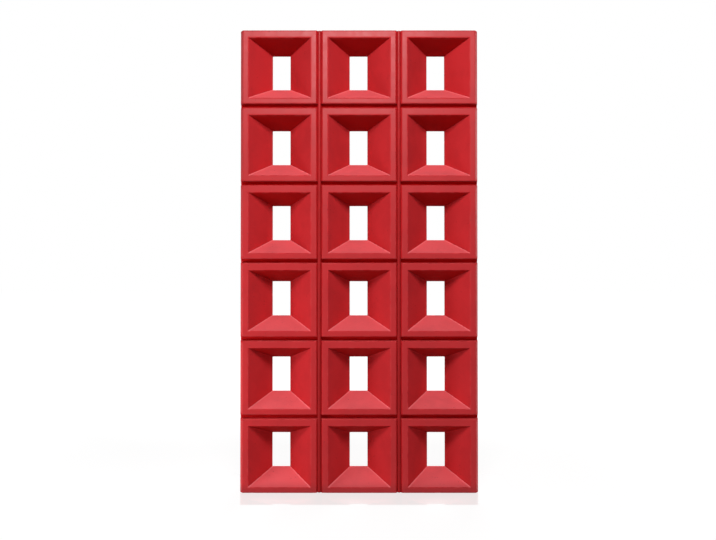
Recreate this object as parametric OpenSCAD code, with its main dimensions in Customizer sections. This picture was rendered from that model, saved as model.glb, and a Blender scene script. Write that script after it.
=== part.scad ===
// Free-standing screen of hollow bricks, laid in straight columns without bond.
// Millimetres. Z is up, the front faces -Y, and the origin is the middle of the footprint.
// Rows count from the ground, and columns and upright joints count from the left.

/* [Panel] */
// Number of brick columns
columns = 3; // [2:1:4]
// Number of brick rows
rows = 6; // [2:1:8]
// Height of the bed joints, the level joints between rows
bed_joint = 10; // [8:0.5:16]
// Width of the upright joints between columns
upright_joint = 2; // [1.5:0.5:6]

/* [Brick body] */
// Width of a brick
brick_w = 203; // [170:1:260]
// Height of a brick
brick_h = 190; // [150:1:260]
// Depth of a brick from front face to back face
brick_d = 90; // [75:1:140]
// How far each slope along an upright edge reaches in from the side
slope_w = 7; // [5:0.5:9]
// How deep each slope along an upright edge runs
slope_d = 13; // [11:0.5:18]
// Radius of the rounded level edges, top and bottom
level_edge_r = 2.5; // [1:0.5:4]

/* [Brick opening] */
// Rim between the mouth and each side of the brick
rim_side = 22.5; // [16:0.5:40]
// Rim between the mouth and the top of the brick
rim_top = 20; // [12:0.5:30]
// Rim between the mouth and the bottom of the brick
rim_bottom = 16; // [10:0.5:28]
// Slanted lip around the mouth
mouth_lip = 1.5; // [0.5:0.5:3]
// Width of the throat, the narrowest part of the opening
throat_w = 47; // [20:1:80]
// Height of the throat
throat_h = 90.5; // [40:0.5:105]
// Straight length of the throat
throat_run = 6; // [3:1:15]
// Depth of the outlet that flares behind the throat
outlet_d = 10; // [4:1:20]
// How far each side of the outlet flares
outlet_flare = 8; // [2:1:15]

/* [Mortar] */
// How far the bed joints are raked back from the faces
bed_rake = 12; // [11:0.5:20]
// How far the ends of the bed joints are set back from the sides of the panel
bed_end_rake = 0.5; // [0.5:0.5:4]

/* [Steel] */
// Diameter of the upright rods that lie in the grooves between columns
rod_d = 9; // [8:0.25:11]
// Set-back of each rod end from the top and the ground
rod_end_gap = 1; // [0.5:0.5:5]
// Bevel on the rod ends
rod_bevel = 1; // [0.5:0.25:2]
// Clearance between a rod and what it rests against
rod_fit = 0.2; // [0.1:0.05:0.4]
// Diameter of the wires of the ladders hidden in the bed joints
wire_d = 4; // [3:0.5:6]
// Distance of each long wire from the brick faces
wire_cover = 28; // [20:1:32]
// Set-back of the ladder ends from the ends of the bed joint
wire_end_cover = 15; // [5:1:30]
// Clearance between a ladder and the mortar cast around it
wire_fit = 0.1; // [0.05:0.05:0.3]

/* [Hidden] */
panel_w = columns * brick_w + (columns - 1) * upright_joint;
panel_h = rows * brick_h + (rows - 1) * bed_joint;
column_pitch = brick_w + upright_joint;
row_pitch = brick_h + bed_joint;
front_y = -brick_d / 2;
back_y = brick_d / 2;
over = 1;

// How far the mouth reaches from the middle of the brick, at the inner edge of its lip
mouth_side = brick_w / 2 - rim_side;
mouth_up = brick_h / 2 - rim_top;
mouth_down = brick_h / 2 - rim_bottom;

// The rod touches both slopes of its groove, so its depth follows from the groove
groove_half_w = upright_joint / 2 + slope_w;
slope_len = sqrt(slope_w * slope_w + slope_d * slope_d);
rod_depth = (groove_half_w * slope_d - (rod_d / 2 + rod_fit) * slope_len) / slope_w;
rod_y = front_y + rod_depth;
rod_back_y = rod_y + rod_d / 2;
joint_front_y = rod_back_y + rod_fit;
wire_y = front_y + wire_cover;

brick_color = [0.80, 0.24, 0.25];
mortar_color = [0.58, 0.12, 0.13];
rod_color = [0.76, 0.20, 0.22];
wire_color = [0.66, 0.67, 0.69];

// Middle of a column across the panel
function column_x(c) = (c - (columns + 1) / 2) * column_pitch;

// Middle of the upright joint to the right of column j
function joint_x(j) = column_x(j) + column_pitch / 2;

// Underside of a row
function row_z(r) = (r - 1) * row_pitch;

// Underside of the bed joint on top of row b
function bed_z(b) = row_z(b) + brick_h;

// One side of the opening's outline, from in front of the mouth to behind the outlet.
// Each point is [distance from the middle, depth].
function opening_side(mouth, throat) = [
    [mouth + mouth_lip + over, front_y - over],
    [mouth, front_y + mouth_lip],
    [throat, back_y - outlet_d - throat_run],
    [throat, back_y - outlet_d],
    [throat + outlet_flare * (outlet_d + over) / outlet_d, back_y + over]
];

// Outline of the opening: one side from front to back, then the other side from back to front
function opening_outline(mouth_one, mouth_other, throat) =
    let (other = opening_side(mouth_other, throat), last = len(other) - 1)
    concat(opening_side(mouth_one, throat), [for (i = [last:-1:0]) [-other[i][0], other[i][1]]]);

// The same outline with the depth of each point first
function depth_first(points) = [for (point = points) [point[1], point[0]]];

// Stands a depth and height outline upright and runs it along X
module along_x(length) {
    rotate([90, 0, 90])
        linear_extrude(height = length, center = true)
            children();
}

// Brick seen from above, with its upright edges sloped back
module brick_plan() {
    side = brick_w / 2;
    polygon([
        [-side + slope_w, front_y],
        [side - slope_w, front_y],
        [side, front_y + slope_d],
        [side, back_y - slope_d],
        [side - slope_w, back_y],
        [-side + slope_w, back_y],
        [-side, back_y - slope_d],
        [-side, front_y + slope_d]
    ]);
}

// Brick seen from the side, centred on its height, with round level edges
module brick_side() {
    square([brick_d - 2 * level_edge_r, brick_h], center = true);
    square([brick_d, brick_h - 2 * level_edge_r], center = true);
    for (y = [-1, 1], z = [-1, 1])
        translate([y * (brick_d / 2 - level_edge_r), z * (brick_h / 2 - level_edge_r)])
            circle(r = level_edge_r, $fn = 32);
}

// The space through a brick: lip, funnel, throat and outlet.
// Its width follows from the outline seen from above, its height from the one seen from the side.
module brick_opening() {
    intersection() {
        linear_extrude(height = brick_h, center = true)
            polygon(opening_outline(mouth_side, mouth_side, throat_w / 2));
        along_x(brick_w)
            polygon(depth_first(opening_outline(mouth_up, mouth_down, throat_h / 2)));
    }
}

module brick(r, c) {
    color(brick_color)
        translate([column_x(c), 0, row_z(r) + brick_h / 2])
            difference() {
                intersection() {
                    linear_extrude(height = brick_h, center = true)
                        brick_plan();
                    along_x(brick_w)
                        brick_side();
                }
                brick_opening();
            }
}

// Round rod with bevelled ends, standing in the groove of upright joint j
module rod(j, y, extra = 0) {
    length = panel_h - 2 * rod_end_gap;
    radius = rod_d / 2 + extra;
    translate([joint_x(j), y, rod_end_gap])
        rotate_extrude($fn = 48)
            polygon([
                [0, 0],
                [radius - rod_bevel, 0],
                [radius, rod_bevel],
                [radius, length - rod_bevel],
                [radius - rod_bevel, length],
                [0, length]
            ]);
}

module front_rod(j) {
    color(rod_color)
        rod(j, rod_y);
}

module back_rod(j) {
    color(rod_color)
        rod(j, -rod_y);
}

// Two long wires with a cross wire at each upright joint, welded in one plane
module ladder_wires(b, extra = 0) {
    diameter = wire_d + 2 * extra;
    long = panel_w - 2 * (bed_end_rake + wire_end_cover) + 2 * extra;
    cross = -2 * joint_front_y;
    translate([0, 0, bed_z(b) + bed_joint / 2]) {
        for (y = [wire_y, -wire_y])
            translate([0, y, 0])
                rotate([0, 90, 0])
                    cylinder(d = diameter, h = long, center = true, $fn = 32);
        for (j = [1:columns - 1])
            translate([joint_x(j), 0, 0])
                rotate([90, 0, 0])
                    cylinder(d = diameter, h = cross, center = true, $fn = 32);
    }
}

module bed_ladder(b) {
    color(wire_color)
        ladder_wires(b);
}

// Level joint under row b + 1, cast around its ladder and clear of the rods
module bed_mortar(b) {
    color(mortar_color)
        difference() {
            translate([0, 0, bed_z(b) + bed_joint / 2])
                cube([panel_w - 2 * bed_end_rake, brick_d - 2 * bed_rake, bed_joint], center = true);
            ladder_wires(b, wire_fit);
            for (j = [1:columns - 1], y = [rod_y, -rod_y])
                rod(j, y, rod_fit);
        }
}

// Thin joint between two bricks of row r, from the front rod to the back rod
module upright_mortar(r, j) {
    color(mortar_color)
        translate([joint_x(j), 0, row_z(r) + brick_h / 2])
            cube([upright_joint, -2 * joint_front_y, brick_h], center = true);
}

for (r = [1:rows], c = [1:columns])
    brick(r, c);
for (b = [1:rows - 1])
    bed_mortar(b);
for (r = [1:rows], j = [1:columns - 1])
    upright_mortar(r, j);
for (j = [1:columns - 1])
    front_rod(j);
for (j = [1:columns - 1])
    back_rod(j);
for (b = [1:rows - 1])
    bed_ladder(b);
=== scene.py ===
"""Looks of a hollow brick partition panel: brick and mortar meshes, materials, studio and camera.

Metres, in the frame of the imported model: Z is up, the front faces -Y, and the origin is the middle
of the footprint. Rows count from the ground, and columns and upright joints from the left.
"""

import math

import bmesh
import bpy
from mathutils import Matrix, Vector, noise


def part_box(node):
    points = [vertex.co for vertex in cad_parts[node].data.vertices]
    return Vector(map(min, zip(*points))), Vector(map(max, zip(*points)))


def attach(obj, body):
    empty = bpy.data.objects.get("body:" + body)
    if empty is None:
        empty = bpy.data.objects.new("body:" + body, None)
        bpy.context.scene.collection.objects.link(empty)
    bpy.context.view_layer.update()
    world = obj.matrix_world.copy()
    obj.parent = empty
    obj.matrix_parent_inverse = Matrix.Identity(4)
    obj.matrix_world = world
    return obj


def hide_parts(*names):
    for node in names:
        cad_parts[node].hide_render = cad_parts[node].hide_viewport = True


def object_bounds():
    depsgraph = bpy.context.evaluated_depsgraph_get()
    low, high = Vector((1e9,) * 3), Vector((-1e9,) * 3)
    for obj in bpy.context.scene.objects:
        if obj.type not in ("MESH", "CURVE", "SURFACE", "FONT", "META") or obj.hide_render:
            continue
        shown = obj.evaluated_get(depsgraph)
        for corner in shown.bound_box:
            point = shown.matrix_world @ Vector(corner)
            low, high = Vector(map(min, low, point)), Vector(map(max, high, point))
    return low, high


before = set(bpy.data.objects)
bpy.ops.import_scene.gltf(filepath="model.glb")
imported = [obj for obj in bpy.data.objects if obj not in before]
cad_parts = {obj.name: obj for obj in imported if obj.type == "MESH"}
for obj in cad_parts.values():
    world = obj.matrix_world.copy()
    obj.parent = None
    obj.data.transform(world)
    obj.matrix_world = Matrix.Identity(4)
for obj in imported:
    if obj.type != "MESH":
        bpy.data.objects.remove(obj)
cad_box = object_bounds()

MM = 0.001
TINY = 1e-6
ROWS = range(1, 7)
COLUMNS = range(1, 4)
BEDS = range(1, 6)

# Sizes of a brick, in millimetres. Reaches are measured from its middle: sideways, up and down.
# Depths are measured from its front face.
BRICK_DEPTH = 90
BRICK_SIDE = 101.5
BRICK_UP = 95
SLOPE_WIDTH = 7
SLOPE_DEPTH = 13
MOUTH_SIDE = 80.1
MOUTH_UP = 75.6
MOUTH_DOWN = 79.7
THROAT_SIDE = 23.5
THROAT_UP = 45.25
THROAT_FRONT = 74
THROAT_BACK = 80
OUTLET_FLARE = 8

# Radii of its edges in section, and of its corners seen from the front, in millimetres
FACE_EDGE = 1.6
SLOPE_EDGE = 4
LEVEL_EDGE = 2.5
MOUTH_EDGE = 3.5
THROAT_EDGE = 3
OUTLET_EDGE = 1.5
OUTER_CORNER = 1
OPENING_CORNER = 1.2

# Fineness of its mesh, with the steps between rings in millimetres
FILLET_STEPS = 4
CORNER_STEPS = 3
CELLS_PER_SIDE = 30
LONGEST_RING_STEP = 7.5
SHORTEST_RING_STEP = 0.22
FACE_RING_SHARES = (0.05, 0.5, 0.95)

# Uneven faces and nibbled edges of a brick, with noise scales in cells per metre
SLUMP = 0.16 * MM
SLUMP_SCALE = 9
NIBBLE = 0.45 * MM
NIBBLE_SCALE = 85
NIBBLE_THRESHOLD = 0.12
FULL_WEAR_ANGLE = math.radians(16)
FULL_RECESS_ANGLE = math.radians(30)

# Level joints: the largest cell along each axis, how their faces are struck, and their sand
MORTAR_CELL = (4 * MM, 8 * MM, 1.25 * MM)
MORTAR_HOLLOW = 1 * MM
MORTAR_LEAN = 4 * MM
MORTAR_RELIEF = 0.7 * MM
MORTAR_END_SHARE = 0.4
SAND_SCALE = 260
LUMP_SCALE = 60


# Meshes


def outer_side():
    """Outline of a brick's sides, with the slopes along its upright edges.

    An outline is a list of (depth, reach, edge radius). Its first and last point lie on the front
    and the back face, and only give the edges there their direction.
    """
    face_side = BRICK_SIDE - SLOPE_WIDTH
    return [
        (0, 0, 0),
        (0, face_side, FACE_EDGE),
        (SLOPE_DEPTH, BRICK_SIDE, SLOPE_EDGE),
        (BRICK_DEPTH - SLOPE_DEPTH, BRICK_SIDE, SLOPE_EDGE),
        (BRICK_DEPTH, face_side, FACE_EDGE),
        (BRICK_DEPTH, 0, 0),
    ]


def outer_level():
    """Outline of a brick's top and bottom."""
    return [
        (0, 0, 0),
        (0, BRICK_UP, LEVEL_EDGE),
        (BRICK_DEPTH, BRICK_UP, LEVEL_EDGE),
        (BRICK_DEPTH, 0, 0),
    ]


def opening_side(mouth, throat):
    """Outline of one wall of the opening: funnel, straight throat and flared outlet."""
    return [
        (0, BRICK_SIDE, 0),
        (0, mouth, MOUTH_EDGE),
        (THROAT_FRONT, throat, THROAT_EDGE),
        (THROAT_BACK, throat, THROAT_EDGE),
        (BRICK_DEPTH, throat + OUTLET_FLARE, OUTLET_EDGE),
        (BRICK_DEPTH, BRICK_SIDE, 0),
    ]


def rounded(outline):
    """The outline with an arc in place of each corner that has a radius."""
    points = []
    for index, (depth, reach, radius) in enumerate(outline):
        here = Vector((depth, reach))
        if not radius:
            points.append(here)
            continue
        before = (Vector(outline[index - 1][:2]) - here).normalized()
        after = (Vector(outline[index + 1][:2]) - here).normalized()
        half_angle = before.angle(after) / 2
        middle = here + (before + after).normalized() * (radius / math.sin(half_angle))
        start = here + before * (radius / math.tan(half_angle)) - middle
        end = here + after * (radius / math.tan(half_angle)) - middle
        for step in range(FILLET_STEPS + 1):
            points.append(middle + start.slerp(end, step / FILLET_STEPS) * radius)
    return points


def reach_at(points, depth):
    """Reach at a depth, on the part of a rounded outline between the two faces."""
    for near, far in zip(points, points[1:]):
        if near.x <= depth <= far.x and far.x > near.x:
            return near.y + (far.y - near.y) * (depth - near.x) / (far.x - near.x)
    return points[0].y if depth <= points[0].x else points[-1].y


def wall_rings(side_outline, up_outline, down_outline, corner, inside):
    """Rings from the front face to the back face, closer together where the outlines bend.

    A ring is (depth, reach sideways, up and down, corner radius, inside).
    """
    walls = [rounded(outline)[1:-1] for outline in (side_outline, up_outline, down_outline)]
    depths = [walls[0][0].x]
    for depth in sorted(point.x for points in walls for point in points):
        gap = depth - depths[-1]
        if gap > SHORTEST_RING_STEP:
            cells = math.ceil(gap / LONGEST_RING_STEP)
            depths += [depth - gap * (cells - 1 - cell) / cells for cell in range(cells)]
    depths[-1] = walls[0][-1].x
    return [(depth, *(reach_at(points, depth) for points in walls), corner, inside) for depth in depths]


def face_rings(inner, outer):
    """Rings on a flat face, outside the opening, between the rings at its two edges."""
    rings = []
    for share in FACE_RING_SHARES:
        rings.append((*(a + (b - a) * share for a, b in zip(inner[:5], outer[:5])), 0))
    return rings


def brick_rings():
    """Closed loop of rings: front face, outer sides, back face, then forward through the opening."""
    outer = wall_rings(outer_side(), outer_level(), outer_level(), OUTER_CORNER, 0)
    opening = wall_rings(
        opening_side(MOUTH_SIDE, THROAT_SIDE),
        opening_side(MOUTH_UP, THROAT_UP),
        opening_side(MOUTH_DOWN, THROAT_UP),
        OPENING_CORNER,
        1,
    )
    front = face_rings(opening[0], outer[0])
    back = face_rings(outer[-1], opening[-1])
    return front + outer + back + opening[::-1]


def ring_points(side, up, down, corner):
    """Points round a rectangle with round corners, as many for every ring."""
    arcs = []
    corners = ((side, up), (-side, up), (-side, -down), (side, -down))
    for quarter, (reach_x, reach_z) in enumerate(corners):
        centre_x = reach_x - math.copysign(corner, reach_x)
        centre_z = reach_z - math.copysign(corner, reach_z)
        angles = [math.pi / 2 * (quarter + step / CORNER_STEPS) for step in range(CORNER_STEPS + 1)]
        arcs.append([(centre_x + corner * math.cos(a), centre_z + corner * math.sin(a)) for a in angles])
    points = []
    for arc, next_arc in zip(arcs, arcs[1:] + arcs[:1]):
        points += arc
        for cell in range(1, CELLS_PER_SIDE):
            share = cell / CELLS_PER_SIDE
            points.append(tuple(a + (b - a) * share for a, b in zip(arc[-1], next_arc[0])))
    return points


def edge_marks(mesh_edit):
    """Stores per vertex how far it is worn, on outward edges, and how far recessed, on inward edges."""
    wear = mesh_edit.verts.layers.float.new("wear")
    recess = mesh_edit.verts.layers.float.new("recess")
    for vertex in mesh_edit.verts:
        angles = [edge.calc_face_angle_signed(0) for edge in vertex.link_edges]
        vertex[wear] = min(1, max(0, max(angles) / FULL_WEAR_ANGLE))
        vertex[recess] = min(1, max(0, -min(angles) / FULL_RECESS_ANGLE))
    return wear


def finished(name, mesh_edit, *materials):
    """Turns an edited mesh into a smooth shaded object that rides on the panel."""
    mesh = bpy.data.meshes.new(name)
    mesh_edit.to_mesh(mesh)
    mesh_edit.free()
    mesh.polygons.foreach_set("use_smooth", [True] * len(mesh.polygons))
    for material in materials:
        mesh.materials.append(material)
    piece = bpy.data.objects.new(name, mesh)
    bpy.context.scene.collection.objects.link(piece)
    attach(piece, "root")
    return piece


def join_rings(mesh_edit, rings, middle, front_y):
    """Makes a brick's vertices and cells from its rings.

    Cells in the opening and on the sides, which the mould shaped, get the second material, and
    those on the faces, top and bottom the first.
    """
    inside_mark = mesh_edit.verts.layers.float.new("inside")
    loops = []
    for depth, side, up, down, corner, inside in rings:
        y = front_y + depth * MM
        points = ring_points(side, up, down, corner)
        loops.append([mesh_edit.verts.new((middle.x + x * MM, y, middle.z + z * MM)) for x, z in points])
        for vertex in loops[-1]:
            vertex[inside_mark] = inside
    for near, far in zip(loops, loops[1:] + loops[:1]):
        for index in range(len(near)):
            mesh_edit.faces.new((near[index - 1], near[index], far[index], far[index - 1]))
    bmesh.ops.recalc_face_normals(mesh_edit, faces=mesh_edit.faces)
    for cell in mesh_edit.faces:
        in_opening = all(vertex[inside_mark] for vertex in cell.verts)
        on_side = abs(cell.normal.x) > 0.5
        cell.material_index = 1 if in_opening or on_side else 0


def roughen_brick(mesh_edit, seed):
    """Moves vertices inwards: a slight slump of the faces and small bites out of the outward edges."""
    wear = edge_marks(mesh_edit)
    mesh_edit.normal_update()
    for vertex in mesh_edit.verts:
        slump = SLUMP * (0.5 + 0.5 * noise.noise(vertex.co * SLUMP_SCALE + seed))
        bite = max(0, noise.noise(vertex.co * NIBBLE_SCALE) - NIBBLE_THRESHOLD) * vertex[wear]
        vertex.co -= vertex.normal * (max(0, slump) + NIBBLE * bite)


def make_brick(row, column, rings, face_material, moulded_material):
    """One cast brick in place of its node, shaded so that its large faces look flat."""
    node = f"brick_r{row}_c{column}"
    low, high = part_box(node)
    mesh_edit = bmesh.new()
    join_rings(mesh_edit, rings, (low + high) / 2, low.y)
    roughen_brick(mesh_edit, Vector((row, column, 0)))
    brick = finished(f"cast_{node}", mesh_edit, face_material, moulded_material)
    weighted = brick.modifiers.new("even_faces", "WEIGHTED_NORMAL")
    weighted.weight = 100
    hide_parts(node)


def steps_between(low, high, longest):
    """Evenly spaced coordinates from low to high, no further apart than longest."""
    cells = max(1, math.ceil((high - low) / longest - TINY))
    return [low + (high - low) * cell / cells for cell in range(cells + 1)]


def grid_box(mesh_edit, steps):
    """A closed box whose vertices lie on a grid, given the grid's coordinates along each axis."""
    sizes = [len(along) - 1 for along in steps]
    vertices = {}

    def vertex(key):
        """The vertex at a place in the grid, made when it is first needed."""
        if key not in vertices:
            vertices[key] = mesh_edit.verts.new([along[place] for along, place in zip(steps, key)])
        return vertices[key]

    for axis in range(3):
        across, up = (axis + 1) % 3, (axis + 2) % 3
        for end in (0, sizes[axis]):
            for a in range(sizes[across]):
                for b in range(sizes[up]):
                    corners = []
                    for step_a, step_b in ((0, 0), (1, 0), (1, 1), (0, 1)):
                        key = [0, 0, 0]
                        key[axis], key[across], key[up] = end, a + step_a, b + step_b
                        corners.append(vertex(tuple(key)))
                    mesh_edit.faces.new(corners)
    bmesh.ops.recalc_face_normals(mesh_edit, faces=mesh_edit.faces)


def make_bed_mortar(bed, material):
    """One level joint in place of its node, with sandy ends, and with its front and back struck inwards.

    These two are sandy and slightly hollow too, and lean so that they lie deepest near the bottom.
    """
    node = f"bed_mortar_{bed}"
    low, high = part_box(node)
    mesh_edit = bmesh.new()
    grid_box(mesh_edit, [steps_between(low[axis], high[axis], MORTAR_CELL[axis]) for axis in range(3)])
    middle_z = (low.z + high.z) / 2
    half_z = (high.z - low.z) / 2
    for vertex in mesh_edit.verts:
        point = vertex.co.copy()
        lumps = 0.4 * noise.noise(point * LUMP_SCALE)
        sand = MORTAR_RELIEF * max(0, 0.5 + 0.5 * noise.noise(point * SAND_SCALE) + lumps)
        rise = (point.z - middle_z) / half_z
        struck = MORTAR_HOLLOW * (1 - rise**2) + MORTAR_LEAN * (1 - rise) / 2
        if min(point.y - low.y, high.y - point.y) < TINY:
            vertex.co.y -= math.copysign(struck + sand, point.y)
        if min(point.x - low.x, high.x - point.x) < TINY:
            vertex.co.x -= math.copysign(MORTAR_END_SHARE * sand, point.x)
    mortar = finished(f"tooled_{node}", mesh_edit, material)
    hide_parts(node)


# Nodes


def feed(tree, socket, value):
    """Links a socket to a node's input, or writes a plain value to it."""
    if isinstance(value, bpy.types.NodeSocket):
        tree.links.new(value, socket)
    elif isinstance(value, tuple) and len(value) == 3 and socket.type == "RGBA":
        socket.default_value = (*value, 1)
    else:
        socket.default_value = value


def add(tree, kind, inputs=None, **settings):
    """Adds a node, sets its options and feeds its inputs."""
    node = tree.nodes.new(kind)
    for option, value in settings.items():
        setattr(node, option, value)
    for key, value in (inputs or {}).items():
        feed(tree, node.inputs[key], value)
    return node


def mixed(tree, share, first, second):
    """The first colour turning into the second as share goes from 0 to 1."""
    return add(tree, "ShaderNodeMix", {0: share, 6: first, 7: second}, data_type="RGBA").outputs[2]


def math_node(tree, operation, *values):
    """The result of one sum, with sockets or plain numbers as its values."""
    return add(tree, "ShaderNodeMath", dict(enumerate(values)), operation=operation).outputs[0]


def times(tree, first, second):
    """Product of two values."""
    return math_node(tree, "MULTIPLY", first, second)


def ranged(tree, value, low, high, to_low=0.0, to_high=1.0):
    """A value remapped smoothly from one range to another."""
    inputs = {"Value": value, "From Min": low, "From Max": high, "To Min": to_low, "To Max": to_high}
    return add(tree, "ShaderNodeMapRange", inputs, interpolation_type="SMOOTHSTEP").outputs["Result"]


def grain(tree, where, scale, detail=2.0, roughness=0.5):
    """Cloud noise between about 0.2 and 0.8, with scale in cells per metre."""
    inputs = {"Vector": where, "Scale": scale, "Detail": detail, "Roughness": roughness}
    return add(tree, "ShaderNodeTexNoise", inputs).outputs["Fac"]


def mark(tree, name):
    """A number stored on the mesh's vertices."""
    return add(tree, "ShaderNodeAttribute", attribute_name=name).outputs["Fac"]


def parts_of(tree, vector):
    """The X, Y and Z outputs of a vector."""
    return add(tree, "ShaderNodeSeparateXYZ", {0: vector}).outputs


def bumped(tree, height, strength, distance, below=None):
    """A normal for a surface with this relief, on top of the normal below if one is given."""
    inputs = {"Height": height, "Strength": strength, "Distance": distance}
    if below:
        inputs["Normal"] = below
    return add(tree, "ShaderNodeBump", inputs).outputs["Normal"]


def new_material(name, **shader_values):
    """A material with its node tree, its shader and coordinates in metres."""
    material = bpy.data.materials.new(name)
    material.use_nodes = True
    tree = material.node_tree
    shader = tree.nodes["Principled BSDF"]
    for socket, value in shader_values.items():
        feed(tree, shader.inputs[socket.replace("_", " ")], value)
    where = add(tree, "ShaderNodeTexCoord").outputs["Object"]
    return material, tree, shader, where


# Brick


RED = (0.56, 0.018, 0.023)
# Lighter reds for the opening and the slopes, and a pale red for the opening's floors: painted light
OPENING_LIT_RED = (0.65, 0.027, 0.033)
SLOPE_LIT_RED = (0.76, 0.025, 0.031)
FLOOR_SHEEN_RED = (0.94, 0.13, 0.147)
# Darker red for the opening's ceilings: painted shade
CEILING_SHADE_RED = (0.39, 0.0005, 0.001)
# Dark red for the painted shade in the opening's downward inner corners, and for the darkening at the
# foot
DARKENING_RED = (0.2, 0.006, 0.009)
GRIT_RED = (0.33, 0.01, 0.014)
PORE_RED = (0.11, 0.004, 0.006)
WORN_RED = (0.62, 0.12, 0.12)
# Pale red for a painted highlight along the opening's upward inner corners
CORNER_HIGHLIGHT = (1, 0.24, 0.26)
BLACK = (0, 0, 0)

# How strongly each is mixed in, from 0 to 1
FOOT_DARKENING = 0.4
CLOUD_SHADE = 0.08
GRIT_SHADE = 0.12
PORE_SHADE = 0.7
WORN_SHARE = 0.2
# Share of painted shade in the opening's downward inner corners
CORNER_SHADE = 0.35

FACE_SPECULAR = 0.33
FACE_ROUGHNESS = (0.39, 0.47)
MOULDED_SPECULAR = 0.15
MOULDED_ROUGHNESS = 0.9
WORN_TO_MOULDED = 0.8

# Noise scales in cells per metre, and relief
CLOUD_SCALE = 14
BLOTCH_SCALE = 55
GRIT_SCALE = 900
PORE_SCALE = 130
PORE_PATCH_SCALE = 32
GRIT_RELIEF = 0.5 * MM
CLOUD_RELIEF = 1 * MM


def clay_colour(tree, inside, sideways, upward):
    """Red by place, with painted light: lighter on the slopes and in the opening, a painted highlight
    that makes the opening's floors paler, and painted shade that deepens its ceilings.
    """
    on_slope = ranged(tree, math_node(tree, "ABSOLUTE", sideways), 0.5, 0.8)
    colour = mixed(tree, inside, mixed(tree, on_slope, RED, SLOPE_LIT_RED), OPENING_LIT_RED)
    # Painted highlight on the opening's floors, then painted shade on its ceilings
    colour = mixed(tree, times(tree, inside, ranged(tree, upward, 0.3, 0.9)), colour, FLOOR_SHEEN_RED)
    return mixed(tree, times(tree, inside, ranged(tree, upward, -0.3, -0.9)), colour, CEILING_SHADE_RED)


def pore_mask(tree, where):
    """1 in round pores, which lie in a few patches, else 0."""
    cells = add(tree, "ShaderNodeTexVoronoi", {"Vector": where, "Scale": PORE_SCALE}).outputs["Distance"]
    in_patch = ranged(tree, grain(tree, where, PORE_PATCH_SCALE), 0.58, 0.64)
    return times(tree, ranged(tree, cells, 0.16, 0.08), in_patch)


def brick_material(name, specular):
    """Matte cast brick, coloured through: grit, a few pores and worn edges, darker towards the foot, with
    painted light and shade by place and in the opening's inner corners.

    The faces are rubbed smoother than the opening and the edges, which keep the mould's rough skin.
    """
    material, tree, shader, where = new_material(name, Specular_IOR_Level=specular)
    cloud = grain(tree, where, CLOUD_SCALE, 4, 0.6)
    blotch = grain(tree, where, BLOTCH_SCALE, 3, 0.6)
    grit = grain(tree, where, GRIT_SCALE, 2, 0.7)
    pore = pore_mask(tree, where)
    above_ground = parts_of(tree, where)["Z"]
    sideways, _, upward = parts_of(tree, add(tree, "ShaderNodeNewGeometry").outputs["Normal"])
    inside = mark(tree, "inside")
    wear = mark(tree, "wear")
    corner = mark(tree, "recess")

    colour = clay_colour(tree, inside, sideways, upward)
    # Darker towards the foot, over the lowest 30 mm
    colour = mixed(tree, ranged(tree, above_ground, 30 * MM, 5 * MM, 0, FOOT_DARKENING), colour, DARKENING_RED)
    colour = mixed(tree, ranged(tree, cloud, 0.35, 0.6, CLOUD_SHADE, 0), colour, BLACK)
    colour = mixed(tree, ranged(tree, grit, 0.45, 0.75, 0, GRIT_SHADE), colour, GRIT_RED)
    colour = mixed(tree, times(tree, pore, PORE_SHADE), colour, PORE_RED)
    worn = times(tree, wear, ranged(tree, blotch, 0.38, 0.66))
    colour = mixed(tree, times(tree, worn, WORN_SHARE), colour, WORN_RED)
    # Painted highlight along the upward inner corners, and painted shade in the downward ones
    painted_corner_highlight = times(tree, corner, ranged(tree, upward, 0, 0.3))
    colour = mixed(tree, painted_corner_highlight, colour, CORNER_HIGHLIGHT)
    painted_corner_shade = times(tree, corner, ranged(tree, upward, 0.1, -0.4, 0, CORNER_SHADE))
    colour = mixed(tree, painted_corner_shade, colour, DARKENING_RED)
    feed(tree, shader.inputs["Base Color"], colour)

    rubbed = ranged(tree, blotch, 0.3, 0.7, *FACE_ROUGHNESS)
    unrubbed = math_node(tree, "MAXIMUM", inside, times(tree, wear, WORN_TO_MOULDED))
    skin = add(tree, "ShaderNodeMix", {0: unrubbed, 2: rubbed, 3: MOULDED_ROUGHNESS}).outputs[0]
    feed(tree, shader.inputs["Roughness"], skin)

    relief = math_node(tree, "SUBTRACT", times(tree, grit, 0.25), pore)
    normal = bumped(tree, relief, 0.35, GRIT_RELIEF)
    feed(tree, shader.inputs["Normal"], bumped(tree, cloud, 0.2, CLOUD_RELIEF, normal))
    return material


# Mortar and steel


# Lighter than the bricks' red: painted light for the joints, which lie in shade
MORTAR_REDS = ((0.66, 0.005, 0.007), (0.74, 0.008, 0.011))
PALE_SAND = (0.8, 0.03, 0.03)
DARK_SAND = (0.4, 0.004, 0.006)
MORTAR_SPECULAR = 0.15
MORTAR_ROUGHNESS = (0.78, 0.95)
FINE_SAND_SCALE = 1100
DAMP_SCALE = 30

ROD_REDS = ((0.43, 0.012, 0.014), (0.51, 0.014, 0.017))
# Darker red for the painted shade low on the rods
ROD_LOW_SHADE = (0.25, 0, 0.001)
ROD_STREAK = (0.52, 0.012, 0.015)
ROD_SCUFF = (0.23, 0.09, 0.08)
ROD_SPECULAR = 0.2
ROD_ROUGHNESS = (0.31, 0.39)
STREAK_SCALE = 520
STREAK_STRETCH = (1, 1, 0.06)
PATCH_SCALE = 24
# Between these heights the painted shade on a rod grows from none to full towards the ground, and with it
# the roughness
LOW_SHADE_HEIGHTS = (1.1, 0.1)
LOW_SHADE_SHARE = 0.5
LOW_ROUGHNESS = 0.25

ZINC_GREYS = ((0.42, 0.43, 0.45), (0.62, 0.63, 0.65))
ZINC_ROUGHNESS = (0.3, 0.55)
DRAWN_SCALE = 1500
SPANGLE_SCALE = 180


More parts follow.
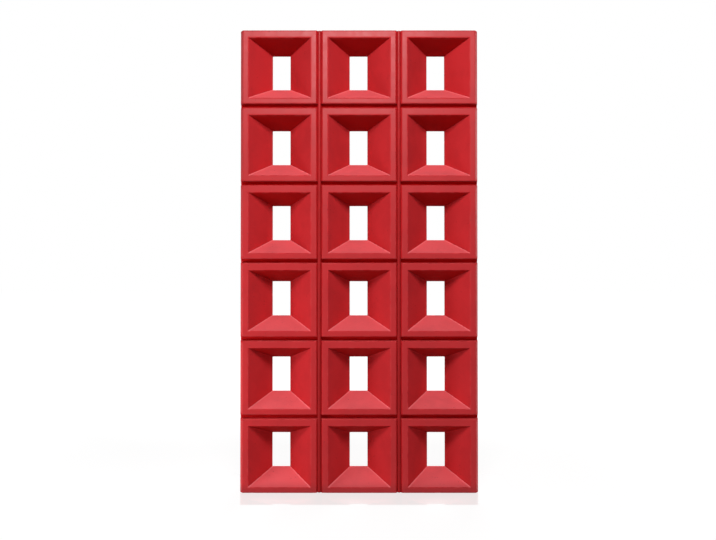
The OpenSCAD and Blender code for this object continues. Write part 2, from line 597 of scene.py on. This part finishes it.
def mortar_material():
    """Sandy joint mortar, pigmented a purer red than the bricks, and lighter: painted light that
    brightens the shaded joints.
    """
    material, tree, shader, where = new_material("red_mortar", Specular_IOR_Level=MORTAR_SPECULAR)
    sand = grain(tree, where, FINE_SAND_SCALE, 2, 0.7)
    damp = grain(tree, where, DAMP_SCALE, 4, 0.6)
    colour = mixed(tree, ranged(tree, damp, 0.35, 0.65), *MORTAR_REDS)
    colour = mixed(tree, ranged(tree, sand, 0.55, 0.7, 0, 0.4), colour, PALE_SAND)
    colour = mixed(tree, ranged(tree, sand, 0.45, 0.3, 0, 0.4), colour, DARK_SAND)
    feed(tree, shader.inputs["Base Color"], colour)
    feed(tree, shader.inputs["Roughness"], ranged(tree, sand, 0.3, 0.7, *MORTAR_ROUGHNESS))
    feed(tree, shader.inputs["Normal"], bumped(tree, sand, 0.6, 0.8 * MM))
    return material


def rod_material():
    """Painted steel bar with brush streaks and a few scuffs, duller towards the ground and darker there
    with painted shade.
    """
    material, tree, shader, where = new_material("painted_rod", Specular_IOR_Level=ROD_SPECULAR)
    low_shade_and_dullness = ranged(tree, parts_of(tree, where)["Z"], *LOW_SHADE_HEIGHTS)
    stretch = add(tree, "ShaderNodeMapping", {"Vector": where, "Scale": STREAK_STRETCH})
    streak = grain(tree, stretch.outputs["Vector"], STREAK_SCALE, 3, 0.6)
    patch = grain(tree, where, PATCH_SCALE, 3, 0.6)
    colour = mixed(tree, ranged(tree, patch, 0.35, 0.65), *ROD_REDS)
    # Painted shade, darker towards the ground
    colour = mixed(tree, times(tree, low_shade_and_dullness, LOW_SHADE_SHARE), colour, ROD_LOW_SHADE)
    colour = mixed(tree, ranged(tree, streak, 0.5, 0.7, 0, 0.2), colour, ROD_STREAK)
    scuff = times(tree, ranged(tree, patch, 0.62, 0.7), ranged(tree, streak, 0.6, 0.68))
    colour = mixed(tree, scuff, colour, ROD_SCUFF)
    feed(tree, shader.inputs["Base Color"], colour)
    clean = ranged(tree, streak, 0.3, 0.7, *ROD_ROUGHNESS)
    feed(tree, shader.inputs["Roughness"], math_node(tree, "MULTIPLY_ADD", low_shade_and_dullness, LOW_ROUGHNESS, clean))
    feed(tree, shader.inputs["Normal"], bumped(tree, streak, 0.3, 0.2 * MM))
    return material


def ladder_material():
    """Zinc coated wire with dull spots."""
    material, tree, shader, where = new_material("zinc_wire", Metallic=1.0)
    drawn = grain(tree, where, DRAWN_SCALE, 2, 0.6)
    spangle = grain(tree, where, SPANGLE_SCALE, 3, 0.7)
    colour = mixed(tree, ranged(tree, spangle, 0.35, 0.65), *ZINC_GREYS)
    feed(tree, shader.inputs["Base Color"], colour)
    feed(tree, shader.inputs["Roughness"], ranged(tree, spangle, 0.3, 0.7, *ZINC_ROUGHNESS))
    feed(tree, shader.inputs["Normal"], bumped(tree, drawn, 0.3, 0.1 * MM))
    return material


# Panel


def make_panel():
    """Own meshes for bricks and level joints, and better materials on the nodes that stay."""
    face_red = brick_material("rubbed_brick", FACE_SPECULAR)
    moulded_red = brick_material("moulded_brick", MOULDED_SPECULAR)
    mortar_red = mortar_material()
    rod_red = rod_material()
    rings = brick_rings()
    for row in ROWS:
        for column in COLUMNS:
            make_brick(row, column, rings, face_red, moulded_red)
    for bed in BEDS:
        make_bed_mortar(bed, mortar_red)
    kept = {
        "upright_mortar_": mortar_red,
        "front_rod_": rod_red,
        "back_rod_": rod_red,
        "bed_ladder_": ladder_material(),
    }
    for name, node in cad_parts.items():
        for start, material in kept.items():
            if name.startswith(start):
                node.data.materials.clear()
                node.data.materials.append(material)


# Studio


WHITE = (1, 1, 1)
FILL_STRENGTH = 0.02
FLOOR_SIZE = 24
FLOOR_GREYS = ((0.58, 0.58, 0.58), (0.62, 0.62, 0.62))
FLOOR_ROUGHNESS = 0.7
FLOOR_CLOUD_SCALE = 3
# Share of the floor's own light that the eye doesn't see, the glow that makes up for it near the panel
# and far from it, and the distances between which it changes
FLOOR_DIMMING = 0.75
FLOOR_GLOW = (0.895, 1.0)
GLOW_DISTANCES = (0.3, 1.2)
# Strength of the mirror image round the panel's foot, and the distances between which it ends
POLISH = 0.2
POLISH_DISTANCES = (0.094, 0.106)
POLISH_ROUGHNESS = 0.04

# Name, place, target, size across and up, and power in watts
SOFTBOXES = (
    ("key", (-0.05, -1.65, 1.77), (0, 0, 0.6), (0.6, 0.5), 29.5),
    ("low_left", (-0.8, -0.4, 0.3), (0, 0, 0.35), (0.3, 0.3), 2.3),
    ("back", (0.7, 4.4, 2.1), (0, 0, 0.6), (1.6, 1.2), 125),
    ("side", (2.6, 1, 1.1), (0.3, 0, 0.6), (0.8, 0.8), 20),
)

CAMERA_PLACE = (-0.045, -2.175, 0.605)
CAMERA_TILT = math.radians(90.755)
CAMERA_SHIFT = (0.0228, -0.0335)
LENS = 41.66
SENSOR_WIDTH = 36


def seen_directly(tree):
    """1 for rays from the camera and for those that gloss or glass sends on, else 0."""
    rays = add(tree, "ShaderNodeLightPath").outputs
    camera_or_gloss = math_node(tree, "MAXIMUM", rays["Is Camera Ray"], rays["Is Glossy Ray"])
    return math_node(tree, "MAXIMUM", camera_or_gloss, rays["Is Transmission Ray"])


def distance_away(tree, where):
    """How far a place on the floor lies outside the panel's footprint, 0 under it."""
    x, y, _ = parts_of(tree, where)
    beside = math_node(tree, "SUBTRACT", math_node(tree, "ABSOLUTE", x), cad_box[1].x)
    before = math_node(tree, "SUBTRACT", math_node(tree, "ABSOLUTE", y), cad_box[1].y)
    return math_node(tree, "MAXIMUM", math_node(tree, "MAXIMUM", beside, before), 0.0)


def floor_material():
    """Pale floor that the eye sees as white but for the panel's soft shadow and its faint mirror image.

    Only a strip round the panel's foot is polished. Farther away the floor fades into the background.
    """
    material, tree, shader, where = new_material(
        "studio_floor", Roughness=FLOOR_ROUGHNESS, Specular_IOR_Level=0.0
    )
    cloud = grain(tree, where, FLOOR_CLOUD_SCALE, 3)
    feed(tree, shader.inputs["Base Color"], mixed(tree, cloud, *FLOOR_GREYS))
    away = distance_away(tree, where)
    direct = seen_directly(tree)
    glow_strength = times(tree, direct, ranged(tree, away, *GLOW_DISTANCES, *FLOOR_GLOW))
    glow = add(tree, "ShaderNodeEmission", {"Strength": glow_strength})
    dimming = times(tree, direct, FLOOR_DIMMING)
    dimmed = add(tree, "ShaderNodeMixShader", {0: dimming, 1: shader.outputs[0]})
    pale = add(tree, "ShaderNodeAddShader", {0: dimmed.outputs[0], 1: glow.outputs[0]})
    polish = ranged(tree, away, *POLISH_DISTANCES, POLISH, 0.0)
    mirror = add(tree, "ShaderNodeBsdfGlossy", {"Color": WHITE, "Roughness": POLISH_ROUGHNESS})
    surface = add(tree, "ShaderNodeMixShader", {0: polish, 1: pale.outputs[0], 2: mirror.outputs[0]})
    tree.links.new(surface.outputs[0], tree.nodes["Material Output"].inputs["Surface"])
    return material


def make_floor():
    """A wide level floor under the panel."""
    bpy.ops.mesh.primitive_plane_add(size=FLOOR_SIZE)
    floor = bpy.context.object
    floor.name = "floor"
    floor.data.materials.append(floor_material())


def make_world():
    """White to the eye, and a weak even fill to the object."""
    world = bpy.data.worlds.new("studio")
    bpy.context.scene.world = world
    world.use_nodes = True
    tree = world.node_tree
    tree.nodes.remove(tree.nodes["Background"])
    fill = add(tree, "ShaderNodeBackground", {"Color": WHITE, "Strength": FILL_STRENGTH})
    white = add(tree, "ShaderNodeBackground", {"Color": WHITE, "Strength": 1.0})
    direct = seen_directly(tree)
    surface = add(tree, "ShaderNodeMixShader", {0: direct, 1: fill.outputs[0], 2: white.outputs[0]})
    tree.links.new(surface.outputs[0], tree.nodes["World Output"].inputs["Surface"])


def make_softbox(name, place, target, size, power):
    """A rectangular soft lamp at place that points to target and that the camera doesn't see."""
    lamp = bpy.data.lights.new(name, "AREA")
    lamp.shape = "RECTANGLE"
    lamp.size, lamp.size_y = size
    lamp.energy = power
    holder = bpy.data.objects.new(name, lamp)
    holder.location = place
    holder.rotation_euler = (Vector(target) - Vector(place)).to_track_quat("-Z", "Y").to_euler()
    holder.visible_camera = False
    bpy.context.scene.collection.objects.link(holder)


def make_camera():
    """Stands where the photograph was taken from, a little left of the middle and tilted slightly up."""
    lens = bpy.data.cameras.new("camera")
    lens.sensor_width = SENSOR_WIDTH
    lens.lens = LENS
    lens.shift_x, lens.shift_y = CAMERA_SHIFT
    camera = bpy.data.objects.new("camera", lens)
    camera.location = CAMERA_PLACE
    camera.rotation_euler = (CAMERA_TILT, 0, 0)
    bpy.context.scene.collection.objects.link(camera)
    bpy.context.scene.camera = camera


make_panel()
make_floor()
make_world()
for softbox in SOFTBOXES:
    make_softbox(*softbox)
make_camera()

bpy.context.scene.view_settings.view_transform = "Standard"
